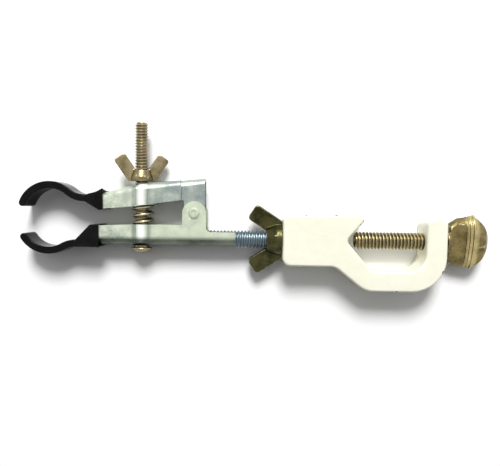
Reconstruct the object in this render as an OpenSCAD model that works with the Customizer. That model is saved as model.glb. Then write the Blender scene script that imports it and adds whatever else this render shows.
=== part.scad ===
// Small laboratory clamp with its own boss head.
// +X runs from the jaws to the thumb screw, +Y from the lower to the upper arm, +Z along the stand rod.
// The origin is on the axis of a stand rod seated in the V notch, level with the back face of the boss.

/* [Boss] */
// Depth of the casting along the stand rod
boss_depth = 11; // [9:0.5:16]
// Height of the block that takes the stem
block_height = 18.8; // [16:0.2:24]
// Distance from the V notch to the stem end of the block
block_length = 23; // [18:0.5:32]
// Corner radius of the block at the stem end
block_corner = 3; // [1:0.1:4]
// Half angle of the V notch
notch_half_angle = 49; // [42:1:55]
// Diameter of the stand rod that the origin stands for
stand_rod_d = 12.7; // [8:0.1:13]
// Distance from the origin to the inner face of the upright
upright_reach = 20.5; // [17:0.5:26]
// Thickness of the upright
upright_thick = 7.5; // [6:0.5:10]
// Height of the upright above the screw axis
upright_height = 8.8; // [7:0.2:11]
// Depth of the jaw floor below the screw axis
floor_drop = 10.9; // [9.5:0.1:13]
// Thickness of the bar under the jaw floor
bar_thick = 7.4; // [6:0.2:10]
// Fillet between the jaw floor and the upright
floor_fillet = 6.6; // [4:0.2:7]
// Outer radius where the bar turns up into the upright
heel_radius = 12.5; // [9:0.5:14]
// Distance from the V notch to where the underside of the bar levels out
bar_lead = 7.3; // [6:0.1:10]
// Radius at the lip of the V notch
lip_radius = 1.6; // [1.2:0.1:2.4]
// Radius in the bottom of the V notch
notch_radius = 1.8; // [1.2:0.1:2.6]
// Fillet between the V notch and the jaw floor
ramp_fillet = 4; // [2:0.2:5]
// Corner radius of the upright
upright_corner = 3; // [2:0.1:3.4]
// Radius where the underside of the bar levels out
toe_radius = 8.6; // [5:0.2:11]
// Fillet between the block and the underside of the bar
shoulder_fillet = 5; // [3:0.2:7]
// Slope of the bar where it leaves the block
bar_slope = 38; // [34:1:46]
// Radius along the front and back edges
edge_radius = 0.9; // [0.5:0.1:1.3]
// Depth of the stem bore
stem_bore_depth = 14; // [10:0.5:17]

/* [Thumb screw] */
// Thread diameter of the thumb screw and of the stem
screw_d = 6.35; // [5:0.05:7]
// Distance from the bottom of the V notch to the screw tip
tip_gap = 3.9; // [1:0.1:16]
// Chamfer at the screw tips
tip_chamfer = 0.7; // [0.3:0.1:1.2]
// Gap between the upright and the collar of the head
collar_gap = 0.6; // [0.4:0.1:3]
// Diameter of the collar under the head
collar_d = 9; // [8:0.2:11]
// Span of the head where it leaves the collar
head_root_span = 13.6; // [9:0.2:14]
// Bulge of the taper's sides
head_swell = 0.8; // [0.2:0.1:1.2]
// Length of the collar
collar_length = 1.2; // [0.8:0.1:3]
// Span of the thumb head
head_span = 20; // [16:0.5:24]
// Thickness of the thumb head
head_thick = 6.4; // [5:0.2:9]
// Length of the taper between the collar and the grip
head_taper = 5.8; // [4:0.2:8]
// Width of one grip ridge
ridge_w = 0.8; // [0.6:0.1:1.2]
// Width of one grip groove
groove_w = 0.5; // [0.3:0.1:0.8]
// Growth in span from one ridge to the next, on each side
ridge_flare = 0.3; // [0.1:0.05:0.5]
// Depth of the grip grooves
groove_depth = 0.6; // [0.3:0.1:1]
// Number of grip ridges
ridge_count = 3; // [2:1:4]
// Length of the domed end
dome_length = 5.6; // [4:0.2:8]
// Turn of the head about the screw axis
head_turn = 8; // [0:1:12]

/* [Stem and lock nut] */
// Length of the thread between the lower arm and the boss
stem_gap = 17.2; // [15:0.2:26]
// Length of the stem rod between the side walls of the lower arm
stem_grip = 10; // [6:0.5:12]
// Gap between the end of the stem rod and the end of its bore
bore_end_gap = 1; // [0.5:0.1:3]
// Gap between the lock nut and the boss
lock_gap = 0.1; // [0.05:0.05:1]
// Height of the lock nut's hub
lock_hub_h = 5.6; // [4:0.2:7]
// Base diameter of the lock nut's hub
lock_hub_d = 11.6; // [10:0.2:13]
// Wing span of the lock nut
lock_span = 26; // [22:0.5:30]
// Width of the lock nut's wings
lock_wing_w = 6.2; // [5:0.2:6.8]
// Thickness of the lock nut's wings
lock_wing_t = 2.6; // [2:0.1:3.2]
// Lean of the lock nut's wings away from the stem
lock_lean = 33; // [28:1:44]
// Turn of the lock nut about the stem
lock_turn = 6; // [0:1:12]

/* [Arms] */
// Thickness of the sheet
sheet = 1; // [0.8:0.1:1.2]
// Outside width of the pressed channels
channel_w = 8.6; // [7.6:0.2:9.6]
// Outside bend radius of the channels
bend_radius = 2.2; // [1.4:0.1:2.6]
// Distance from the stem axis down to the outside of the lower arm
web_drop = 2.6; // [2.5:0.1:4]
// Height of the lower arm's side walls above the stem axis
wall_height = 5; // [4.4:0.2:6]
// Distance along the lower arm from the boss end of its stem to the pivot
pivot_back = 14.9; // [13:0.1:20]
// Height of the pivot above the stem axis
pivot_height = 9.4; // [8.6:0.2:11]
// Radius of the ears round the pivot
ear_radius = 4.25; // [3.8:0.1:5]
// Radius where the ears run down into the stem
stem_flare = 1.6; // [1:0.1:2.2]
// Height of the stem's side walls above the stem axis
stem_wall = 2.5; // [2:0.1:3.4]
// Distance from the pivot to the jaw screw
screw_back = 19.8; // [17:0.2:24]
// Height of the upper arm's back above the stem axis, at the jaw screw
back_height = 19.8; // [19:0.2:22]
// Slope of the upper arm's back behind the jaw screw
rear_slope = 5.5; // [3:0.5:8]
// Slope of the upper arm's back in front of the jaw screw
front_slope = 14.5; // [10:0.5:18]
// Height of the upper arm's side walls at the jaw screw
upper_wall = 8; // [7:0.2:9]
// Length of the upper arm behind the pivot
tail_length = 3.7; // [3:0.1:4.4]
// Reach of the upper arm's rear walls below the pivot
tail_drop = 3.9; // [3:0.1:4.4]
// Height of the upper arm's side walls at the sleeve
nose_wall = 5.6; // [5:0.2:6.6]
// Fall of the lower arm's side walls towards the sleeve
nose_drop = 0.6; // [0.2:0.1:1]
// Gap between the ears and the upper arm's rear walls
ear_gap = 0.2; // [0.1:0.05:0.4]

/* [Jaws] */
// Length of the arms from the pivot to the middle of the jaws
arm_length = 52.4; // [50:0.2:62]
// Middle radius of the curved prongs
prong_radius = 10.4; // [9:0.1:12]
// Radius of the reverse bend behind the prongs
reverse_radius = 9; // [7:0.5:11]
// Angle from the line of the jaws at which the upper prong ends
upper_tip = 157; // [145:1:164]
// Angle from the line of the jaws at which the lower prong ends
lower_tip = 146; // [140:1:164]
// Height of the upper prong's centre above the stem axis
upper_centre = 8.6; // [8:0.1:11]
// Height of the lower prong's centre above the stem axis
lower_centre = 5.6; // [4:0.1:6]
// Distance that the lower prong's centre lies ahead of the upper one's
lower_lead = 0.6; // [0:0.1:1.5]
// Width of the prongs
prong_w = 7; // [6:0.2:7.6]
// Wall of the vinyl sleeves
sleeve_wall = 0.8; // [0.5:0.1:1.1]
// Wall of the sleeves over the edges of the arms' side walls
edge_wall = 0.4; // [0.3:0.05:0.5]
// Angle by which the sleeves run past the ends of the prongs, before their rounded tips
sleeve_tip = 2; // [2:1:6]
// Distance from the jaw screw to the open end of the upper sleeve
upper_sleeve_end = 13; // [11:0.2:15]
// Distance from the jaw screw to the open end of the lower sleeve
lower_sleeve_end = 14.6; // [13:0.2:16]
// Length of the upper arm's side walls inside its sleeve, before they taper
upper_wall_lap = 1.4; // [0.8:0.1:1.6]
// Length of the lower arm's side walls inside its sleeve, before they taper
lower_wall_lap = 3; // [1:0.1:3.4]
// Angle of the upper reverse bend that the tapered walls cover
taper_angle = 18; // [6:1:24]

/* [Jaw screw, spring and rivet] */
// Thread diameter of the jaw screw
jaw_screw_d = 4.76; // [4:0.02:5]
// Height of the jaw screw's top above the stem axis
jaw_screw_top = 42; // [36:0.5:48]
// Diameter of the jaw screw's domed head
jaw_head_d = 8; // [7:0.2:9]
// Height of the domed head
jaw_head_h = 2; // [1.4:0.1:3]
// Diameter of the neck between the arm and the domed head
jaw_neck_d = 5.5; // [5.2:0.1:6]
// Length of that neck
jaw_neck = 1; // [0.6:0.1:2]
// Gap between the wing nut and the upper arm
nut_gap = 1; // [0.8:0.1:1.8]
// Height of the wing nut's hub
nut_hub_h = 4; // [3:0.2:5]
// Base diameter of the wing nut's hub
nut_hub_d = 8; // [7.4:0.2:9]
// Wing span of the jaw wing nut
nut_span = 20; // [17:0.5:24]
// Width of the wing nut's wings
nut_wing_w = 4.6; // [3.8:0.1:5]
// Thickness of the wing nut's wings
nut_wing_t = 2.2; // [1.6:0.1:2.6]
// Lean of the wing nut's wings away from the screw
nut_lean = 34; // [28:1:44]
// Turn of the wing nut about the jaw screw
nut_turn = 14; // [0:1:30]
// Distance from the outside of the upper arm down to the spring
spring_top_drop = 2.4; // [2.2:0.1:3]
// Wire diameter of the spring
wire_d = 1; // [0.7:0.1:1.1]
// Outside diameter of the spring
spring_d = 8; // [7.4:0.1:8.2]
// Distance that the spring sits behind the jaw screw
spring_shift = 0.5; // [0:0.1:0.5]
// Distance that the pockets round the spring are pressed behind it
pocket_shift = 0.2; // [0:0.05:0.2]
// Wall of those pockets
pocket_wall = 0.7; // [0.5:0.1:1]
// Number of turns in the spring
spring_turns = 7; // [5:1:9]
// Shank diameter of the rivet
rivet_d = 2.6; // [2:0.1:3]
// Head diameter of the rivet
rivet_head_d = 3.9; // [3.4:0.1:4.6]
// Head height of the rivet
rivet_head_h = 0.9; // [0.5:0.1:1]

/* [Fits] */
// Radial clearance of the threads and the pivot
running_gap = 0.05; // [0.02:0.01:0.1]
// Clearance of pieces that sit still on each other
seat_gap = 0.02; // [0.01:0.01:0.05]
// Clearance round the spring
free_gap = 0.3; // [0.25:0.05:0.5]
// Clearance round the jaw screw in the slot of the upper arm
slot_gap = 0.2; // [0.1:0.05:0.24]
// Most that the upper arm turns to open the jaws
open_angle = 10; // [5:1:12]
// Most that the upper arm turns to close the jaws
close_angle = 8; // [4:0.5:9]

/* [Hidden] */
$fn = 64;
cut = 40;
mid_z = boss_depth / 2;

// Overlaps inside one piece: of a rim on its core, of runs that meet, and of a hair's breadth
rim_lap = 0.5;
lap = 0.1;
hair = 0.04;

// Proportions of the wing nuts and of the rivet's heads
wing_corner = 0.22;
wing_root = 0.83;
wing_seat = 0.3;
hub_band = 0.35;
hub_taper = 0.8;
dimple_d = 0.75;
dimple_floor = 0.6;

// Places along X, from the V notch towards the jaws
notch_tip = -stand_rod_d / 2 / sin(notch_half_angle);
block_end = notch_tip - block_length;
stem_end = block_end - stem_gap;
pivot = [stem_end - pivot_back, pivot_height];
screw_x = pivot[0] - screw_back;
jaw_x = pivot[0] - arm_length;
screw_tip = notch_tip + tip_gap;
bore_r = screw_d / 2 + running_gap;

// Heights of the upper arm's back, outside
upper_rear_end = pivot[0] + tail_length;
function upper_back(x) = back_height
    + (x - screw_x) * tan(x < screw_x ? front_slope : rear_slope);

// Middle lines of the prongs: a jaw arc that runs into a reverse bend
bend_reach = prong_radius + reverse_radius;
down = 270;
tip_room = 1;
cap_from = 155;
cap_to = 25;
function arc(centre, r, from, to, steps = 18) =
    [for (i = [0:steps]) let (a = from + (to - from) * i / steps) centre + r * [cos(a), sin(a)]];
function reversed(list) = [for (i = [len(list) - 1:-1:0]) list[i]];
function band(centre, leave, tip, turn, thick) =
    let (bend_centre = centre + bend_reach * [cos(leave), sin(leave)])
    concat(
        arc(centre, prong_radius + thick / 2, tip, leave),
        arc(bend_centre, reverse_radius - thick / 2, leave + 180, turn),
        arc(bend_centre, reverse_radius + thick / 2, turn, leave + 180),
        arc(centre, prong_radius - thick / 2, leave, tip));
function tip_cap(centre, tip, thick) =
    let (middle = centre + prong_radius * [cos(tip), sin(tip)], past = sign(tip))
    arc(middle, thick / 2, tip + past * cap_from, tip + past * cap_to, 6);

// The angle at which a prong leaves its jaw arc so that the reverse bend ends level with the back of its arm
upper_jaw = [jaw_x, upper_centre];
lower_jaw = [jaw_x - lower_lead, lower_centre];
lower_leave = -asin((lower_centre + web_drop - sheet / 2 + reverse_radius) / bend_reach);
upper_line = upper_back(screw_x) - sheet / 2 / cos(front_slope) - screw_x * tan(front_slope);
upper_drop = (upper_line + jaw_x * tan(front_slope) - upper_centre) * cos(front_slope) + reverse_radius;
upper_leave = asin(upper_drop / bend_reach) + front_slope;
upper_bend = upper_jaw + bend_reach * [cos(upper_leave), sin(upper_leave)];
lower_bend = lower_jaw + bend_reach * [cos(lower_leave), sin(lower_leave)];
upper_join = upper_bend + reverse_radius * [sin(front_slope), -cos(front_slope)];
lower_join = lower_bend + [0, reverse_radius];

// The upper arm's narrow rear part, and the step and the fold that its three runs of channel meet at
rear_w = channel_w - 2 * sheet - 2 * ear_gap;
step_room = 1;
step_x = pivot[0] - ear_radius - step_room;
step_length = 1.5;
step_drop = 0.1;
step_lap = 0.2;
fold_lap = 0.3;

// The pockets round the spring, and the lower edges of the upper arm's walls
spring_x = screw_x + spring_shift;
pocket_x = spring_x + pocket_shift;
pocket_r = spring_d / 2 + free_gap;
bulge_lift = 0.3;
pocket_top = back_height - spring_top_drop + free_gap;
wall_low = back_height - upper_wall;
wall_step = pivot[1] + ear_radius + free_gap;

// Turns local Z to X, or to Y
module along_x() rotate([0, 90, 0]) children();
module along_y() rotate([-90, 0, 0]) children();

// A slab of a side view, centred on the middle plane
module slab(width) translate([0, 0, mid_z]) linear_extrude(width, center = true) children();

// A screw of length h along local Z, chamfered at its far end
module screw(r, h) {
    cylinder(r = r, h = h - tip_chamfer);
    translate([0, 0, h - tip_chamfer]) cylinder(r1 = r, r2 = r - tip_chamfer, h = tip_chamfer);
}

// A corner of an outline, rounded with its own radius
function unit(v) = v / norm(v);
function corner_arc(before, corner, after, r, steps = 8) =
    let (
        u = unit(before - corner),
        v = unit(after - corner),
        half = acos(u * v) / 2,
        centre = corner + unit(u + v) * r / sin(half),
        a = corner + u * r / tan(half) - centre,
        b = corner + v * r / tan(half) - centre,
        from = atan2(a[1], a[0]),
        sweep = (atan2(b[1], b[0]) - from + 540) % 360 - 180)
    arc(centre, r, from, from + sweep, steps);
function rounded(points, radii) =
    let (n = len(points))
    [for (i = [0:n - 1]) each corner_arc(points[(i + n - 1) % n], points[i], points[(i + 1) % n], radii[i])];

// A closed loop moved inwards; the loop runs clockwise
function inset(loop, d) =
    let (n = len(loop))
    [for (i = [0:n - 1])
        let (along = unit(unit(loop[(i + 1) % n] - loop[i]) + unit(loop[i] - loop[(i + n - 1) % n])))
        loop[i] + d * [along[1], -along[0]]];

// A plate with the given outline and rounded edges on both faces: a flat core inside a rounded rim
module rounded_plate(loop, depth, r, steps = 3) {
    n = len(loop);
    turns = [for (i = [0:steps]) 90 * i / steps];
    rim = concat(
        [[r + rim_lap, 0]],
        [for (a = turns) [r * (1 - sin(a)), r * (1 - cos(a))]],
        [for (a = reversed(turns)) [r * (1 - sin(a)), depth - r * (1 - cos(a))]],
        [[r + rim_lap, depth]]);
    m = len(rim);
    points = [for (level = rim) each [for (p = inset(loop, level[0])) [p[0], p[1], level[1]]]];
    walls = [for (k = [0:m - 1], i = [0:n - 1])
        let (next = (k + 1) % m, right = (i + 1) % n)
        [k * n + i, k * n + right, next * n + right, next * n + i]];
    polyhedron(points, walls, convexity = 6);
    linear_extrude(depth) polygon(inset(loop, r + rim_lap / 2));
}

// Side view of the casting: block, V notch, floor, upright and the bar that joins them
block_half = block_height / 2;
bar_low = -floor_drop - bar_thick;
upright_back = upright_reach + upright_thick;
notch_run = tan(90 - notch_half_angle);
bar_start = notch_tip + bar_lead;
bar_top = bar_start + (bar_low + block_half) / tan(bar_slope);
boss_corners = [[block_end, block_half], [notch_tip + block_half * notch_run, block_half], [notch_tip, 0],
    [notch_tip + floor_drop * notch_run, -floor_drop], [upright_reach, -floor_drop],
    [upright_reach, upright_height], [upright_back, upright_height], [upright_back, bar_low],
    [bar_start, bar_low], [bar_top, -block_half], [block_end, -block_half]];
boss_radii = [block_corner, lip_radius, notch_radius, ramp_fillet, floor_fillet,
    upright_corner, upright_corner, heel_radius, toe_radius, shoulder_fillet, block_corner];

module boss_body() color("ivory") difference() {
    rounded_plate(rounded(boss_corners, boss_radii), boss_depth, edge_radius);
    translate([upright_reach - rim_lap, 0, mid_z]) along_x()
        cylinder(r = bore_r, h = upright_thick + 2 * rim_lap);
    translate([block_end - rim_lap, 0, mid_z]) along_x() cylinder(r = bore_r, h = stem_bore_depth + rim_lap);
}

// Cross-section of the thumb head: a flat bar with round ends
module head_section(span, thick) {
    square([thick, span - thick], center = true);
    for (side = [-1, 1]) translate([0, side * (span - thick) / 2]) circle(d = thick);
}

module thumb_screw() color("darkkhaki") {
    collar_x = upright_back + collar_gap;
    grip_x = collar_length + head_taper;
    ridge_step = ridge_w + groove_w;
    dome_x = grip_x + ridge_step * ridge_count - groove_w;
    dome_span = head_span - 2 * groove_depth;
    grip_span = dome_span - 2 * ridge_flare;
    grip_thick = head_thick - 2 * groove_depth;
    dome_r = (pow(dome_span / 2, 2) + pow(dome_length, 2)) / 2 / dome_length;
    face_r = (pow(head_thick / 2, 2) + pow(dome_length, 2)) / 2 / dome_length;
    translate([collar_x, 0, mid_z]) rotate([head_turn, 0, 0]) along_x() {
        mirror([0, 0, 1]) screw(screw_d / 2, collar_x - screw_tip);
        cylinder(d = collar_d, h = collar_length);
        hull() {
            translate([0, 0, collar_length - lap]) linear_extrude(lap, $fn = 32)
                head_section(head_root_span, grip_thick);
            translate([0, 0, collar_length + head_taper / 2]) linear_extrude(lap, $fn = 32)
                head_section((head_root_span + grip_span) / 2 + 2 * head_swell, grip_thick);
            translate([0, 0, grip_x - lap]) linear_extrude(lap, $fn = 32)
                head_section(grip_span, grip_thick);
        }
        translate([0, 0, grip_x - lap]) linear_extrude(dome_x - grip_x + 2 * lap)
            head_section(grip_span, grip_thick);
        for (i = [0:ridge_count - 1]) translate([0, 0, grip_x + i * ridge_step]) linear_extrude(ridge_w)
            head_section(head_span - 2 * ridge_flare * (ridge_count - 1 - i), head_thick);
        intersection() {
            translate([0, 0, dome_x]) linear_extrude(dome_length + 1) head_section(dome_span, head_thick);
            translate([0, 0, dome_x + dome_length - dome_r]) along_x()
                cylinder(r = dome_r, h = 2 * cut, center = true, $fn = 96);
            translate([0, 0, dome_x + dome_length - face_r]) along_y()
                cylinder(r = face_r, h = 2 * cut, center = true, $fn = 96);
        }
    }
}

module stem_rod() color("lightsteelblue") translate([stem_end - stem_grip, 0, mid_z]) along_x()
    screw(screw_d / 2, stem_grip + stem_gap + stem_bore_depth - bore_end_gap);

// One wing: a plate with two rounded corners at its tip
module wing_outline(w, length) {
    corner = w * wing_corner;
    square([w, length - corner]);
    translate([corner, 0]) square([w - 2 * corner, length]);
    for (x = [corner, w - corner]) translate([x, length - corner]) circle(corner);
}

// A wing nut on local Z, seated at its base: a stepped hub with two flared plates
module wing_nut(bore, hub_d, hub_h, span, wing_w, wing_t, lean) {
    root = hub_d / 2 - wing_w * wing_root;
    reach = (span / 2 - root - wing_w * cos(lean)) / sin(lean);
    difference() {
        union() {
            cylinder(d = hub_d, h = hub_h * hub_band);
            translate([0, 0, hub_h * hub_band])
                cylinder(d1 = hub_d, d2 = hub_d * hub_taper, h = hub_h * (1 - hub_band));
            for (side = [0, 1]) mirror([side, 0, 0]) rotate([90, 0, 0]) linear_extrude(wing_t, center = true)
                translate([root, hub_h * wing_seat]) rotate(-lean) wing_outline(wing_w, reach);
        }
        translate([0, 0, -cut]) cylinder(r = bore, h = 2 * cut);
        translate([0, 0, -cut]) cylinder(r = cut, h = cut);
    }
}

module lock_wing_nut() color("darkkhaki") translate([block_end - lock_gap, 0, mid_z])
    rotate([lock_turn, 0, 0]) rotate([90, 0, 0]) rotate([0, -90, 0])
        wing_nut(bore_r, lock_hub_d, lock_hub_h, lock_span, lock_wing_w, lock_wing_t, lock_lean);

// Section of a pressed channel, its back at y = 0 and its walls down to -h
module channel_section(w, h) difference() {
    arch(w, h, bend_radius);
    translate([0, -sheet]) arch(w - 2 * sheet, h, bend_radius - sheet);
}
module arch(w, h, r) {
    translate([-w / 2, -h]) square([w, h - r]);
    translate([r - w / 2, -h]) square([w - 2 * r, h]);
    for (side = [-1, 1]) translate([side * (w / 2 - r), -r]) circle(r, $fn = 12);
}

// A straight run of channel through a point of its back, at a slope, with its walls up or down
module channel(point, slope, w, walls) translate([point[0], point[1], mid_z]) rotate(slope) along_x()
    linear_extrude(2 * cut, center = true) mirror([0, walls > 0 ? 1 : 0]) channel_section(w, cut);

// Round pockets in both walls that clear the spring: the outside, and the room inside
module spring_bulge(low, high) translate([pocket_x, low, mid_z]) along_y()
    cylinder(r = pocket_r + pocket_wall, h = high - low);
module spring_room(low, high) translate([pocket_x, low, mid_z]) along_y()
    cylinder(r = pocket_r, h = high - low);

// Side view of the lower arm in front of its ears
module lower_nose() {
    nose_x = screw_x - lower_sleeve_end - lower_wall_lap;
    polygon([[lower_join[0], -web_drop], [pivot[0], -web_drop], [pivot[0], wall_height],
        [screw_x, wall_height], [nose_x, wall_height - nose_drop], [lower_join[0], sheet - web_drop]]);
}
module lower_side() {
    lower_nose();
    translate([pivot[0] - ear_radius, -web_drop]) square([2 * ear_radius, pivot[1] + web_drop]);
    translate(pivot) circle(ear_radius);
}
module stem_side() {
    x = pivot[0] + ear_radius;
    translate([x - lap, -web_drop]) square([stem_end - x + lap, stem_wall + web_drop]);
    difference() {
        translate([x - lap, stem_wall - lap]) square([stem_flare, stem_flare]);
        translate([x + stem_flare, stem_wall + stem_flare]) circle(stem_flare);
    }
}

module lower_arm() color("gainsboro") difference() {
    union() {
        intersection() {
            slab(2 * cut) {
                lower_side();
                stem_side();
            }
            channel([screw_x, -web_drop], 0, channel_w, 1);
        }
        spring_bulge(sheet - web_drop, wall_height);
        slab(prong_w) polygon(band(lower_jaw, lower_leave, -lower_tip, 90, sheet));
    }
    spring_room(sheet - web_drop, wall_height + rim_lap);
    translate([screw_x, -cut, mid_z]) along_y() cylinder(d = jaw_screw_d + 2 * seat_gap, h = 2 * cut);
    translate([pivot[0], pivot[1], -cut]) cylinder(d = rivet_d + 2 * seat_gap, h = 2 * cut);
    translate([stem_end - stem_grip - rim_lap, 0, mid_z]) along_x()
        cylinder(d = screw_d + 2 * seat_gap, h = 2 * stem_grip);
}

// Side view of the upper arm, in front of the step and behind it
module upper_nose() {
    nose_x = screw_x - upper_sleeve_end - upper_wall_lap;
    back = upper_join + sheet / 2 * [-sin(front_slope), cos(front_slope)];
    start = front_slope + down - taper_angle;
    front = upper_bend + (reverse_radius + sheet / 4) * [cos(start), sin(start)];
    polygon([back, [screw_x, back_height], [screw_x + fold_lap, upper_back(screw_x + fold_lap) - hair],
        [screw_x + fold_lap, wall_low - hair], [nose_x, upper_back(nose_x) - nose_wall], front]);
}
module upper_mid() {
    from = screw_x - fold_lap;
    to = step_x + step_lap;
    polygon([[from, back_height - fold_lap * tan(rear_slope)], [to, upper_back(to)],
        [to, wall_step], [from, wall_low]]);
}
module upper_rear() {
    low = pivot[1] - tail_drop;
    from = step_x - step_lap;
    polygon([[from, upper_back(from)], [upper_rear_end, upper_back(upper_rear_end)], [upper_rear_end, low],
        [pivot[0] - tail_length, low], [step_x + step_length, wall_step + hair], [from, wall_step + hair]]);
}

module upper_arm() color("gainsboro") difference() {
    union() {
        intersection() {
            slab(2 * cut) upper_nose();
            channel([screw_x, back_height], front_slope, channel_w - 2 * hair, -1);
        }
        intersection() {
            slab(2 * cut) upper_mid();
            channel([screw_x, back_height], rear_slope, channel_w, -1);
        }
        intersection() {
            slab(2 * cut) upper_rear();
            channel([screw_x, back_height - step_drop], rear_slope, rear_w, -1);
        }
        upper_step();
        spring_bulge(wall_low + bulge_lift, pocket_top + lap);
        slab(prong_w) polygon(band(upper_jaw, upper_leave, upper_tip, front_slope + down, sheet));
    }
    spring_room(wall_low - rim_lap, pocket_top);
    screw_slot();
    translate([pivot[0], pivot[1], -cut]) cylinder(d = rivet_d + 2 * running_gap, h = 2 * cut);
}

// Walls that close the step in width between the front and rear channels
module upper_step() {
    low = wall_step + 2 * hair;
    high = upper_back(step_x) - bend_radius - hair;
    for (side = [0, 1]) translate([0, 0, mid_z]) mirror([0, 0, side])
        translate([step_x - sheet / 2, low, rear_w / 2 - sheet + hair])
            cube([sheet, high - low, channel_w / 2 - rear_w / 2 + sheet - 2 * hair]);
}

// Slot in the back of the upper arm, long enough for the screw at both ends of the jaws' travel
module screw_slot() {
    arm = back_height - pivot[1];
    r = jaw_screw_d / 2 + slot_gap;
    low = screw_x - arm * sin(open_angle);
    high = screw_x + arm * sin(close_angle);
    translate([0, back_height - upper_wall, mid_z]) along_y() linear_extrude(cut) {
        for (x = [low, high]) translate([x, 0]) circle(r);
        translate([low, -r]) square([high - low, 2 * r]);
    }
}

// A vinyl sleeve: the side views of a prong and of the nose of its arm, grown by the wall and hollowed.
// It is thin over the edges of the side walls, and full on the back, which lies above or below them.
module sleeve(outside, inside, end_x, back) difference() {
    union() {
        slab(prong_w + 2 * sleeve_wall) polygon(outside);
        intersection() {
            slab(channel_w + 2 * sleeve_wall) offset(r = edge_wall, $fn = 24) {
                children();
                translate([0, back * (sleeve_wall - edge_wall)]) children();
            }
            translate([end_x - cut, -cut, -cut]) cube(cut * [1, 2, 2]);
        }
    }
    slab(prong_w + 2 * seat_gap) polygon(inside);
    slab(channel_w + 2 * seat_gap) offset(r = seat_gap, $fn = 24) children();
}

module lower_jaw_sleeve() color("black") sleeve(
    concat(band(lower_jaw, lower_leave, -lower_tip - sleeve_tip, 90, sheet + 2 * sleeve_wall),
        tip_cap(lower_jaw, -lower_tip - sleeve_tip, sheet + 2 * sleeve_wall)),
    band(lower_jaw, lower_leave, -lower_tip - tip_room, 90, sheet + 2 * seat_gap),
    screw_x - lower_sleeve_end, -1) lower_nose();

module upper_jaw_sleeve() color("black") sleeve(
    concat(band(upper_jaw, upper_leave, upper_tip + sleeve_tip, front_slope + down, sheet + 2 * sleeve_wall),
        tip_cap(upper_jaw, upper_tip + sleeve_tip, sheet + 2 * sleeve_wall)),
    band(upper_jaw, upper_leave, upper_tip + tip_room, front_slope + down, sheet + 2 * seat_gap),
    screw_x - upper_sleeve_end, 1) upper_nose();

module pivot_rivet() color("silver") translate([pivot[0], pivot[1], mid_z]) {
    cylinder(d = rivet_d, h = channel_w + rivet_head_h, center = true);
    for (side = [0, 1]) mirror([0, 0, side]) translate([0, 0, channel_w / 2]) difference() {
        union() {
            cylinder(d = rivet_head_d, h = rivet_head_h / 2);
            translate([0, 0, rivet_head_h / 2])
                cylinder(d1 = rivet_head_d, d2 = rivet_head_d * dimple_d, h = rivet_head_h / 2);
        }
        translate([0, 0, rivet_head_h * dimple_floor]) cylinder(d = rivet_d * dimple_d, h = rivet_head_h);
    }
}

module jaw_screw() color("darkkhaki") translate([screw_x, -web_drop, mid_z]) along_y() {
    screw(jaw_screw_d / 2, jaw_screw_top + web_drop);
    dome_r = (pow(jaw_head_d / 2, 2) + pow(jaw_head_h, 2)) / 2 / jaw_head_h;
    translate([0, 0, -jaw_neck]) cylinder(d = jaw_neck_d, h = jaw_neck);
    intersection() {
        translate([0, 0, -jaw_neck - jaw_head_h]) cylinder(d = jaw_head_d, h = jaw_head_h);
        translate([0, 0, dome_r - jaw_neck - jaw_head_h]) sphere(dome_r);
    }
}

module jaw_wing_nut() color("darkkhaki") translate([screw_x, back_height + nut_gap, mid_z])
    rotate([0, nut_turn, 0]) along_y()
        wing_nut(jaw_screw_d / 2 + running_gap, nut_hub_d, nut_hub_h, nut_span,
            nut_wing_w, nut_wing_t, nut_lean);

// A coil of round wire between the backs of the two arms
module jaw_spring() color("darkkhaki") {
    low = sheet - web_drop + wire_d / 2 + seat_gap;
    high = back_height - spring_top_drop - wire_d / 2;
    r = (spring_d - wire_d) / 2;
    sides = 8;
    turn_steps = 20;
    steps = turn_steps * spring_turns;
    pitch = (high - low) / spring_turns;
    tilt = atan2(pitch, 360 * r * PI / 180);
    points = [for (i = [0:steps], k = [0:sides - 1])
        let (
            a = 360 * spring_turns * i / steps,
            b = 360 * k / sides,
            out = wire_d / 2 * cos(b),
            up = wire_d / 2 * sin(b))
        [spring_x + (r + out) * cos(a) + up * sin(tilt) * sin(a),
            low + (high - low) * i / steps + up * cos(tilt),
            mid_z + (r + out) * sin(a) - up * sin(tilt) * cos(a)]];
    walls = [for (i = [0:steps - 1], k = [0:sides - 1])
        let (turn = i * sides, next = (k + 1) % sides)
        [turn + k, turn + next, turn + sides + next, turn + sides + k]];
    ends = [[for (k = [sides - 1:-1:0]) k], [for (k = [0:sides - 1]) steps * sides + k]];
    polyhedron(points, concat(walls, ends), convexity = 10);
}

boss_body();
thumb_screw();
stem_rod();
lock_wing_nut();
lower_arm();
upper_arm();
lower_jaw_sleeve();
upper_jaw_sleeve();
pivot_rivet();
jaw_screw();
jaw_wing_nut();
jaw_spring();
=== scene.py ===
import math
import bpy
from mathutils import Matrix, Vector


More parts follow.
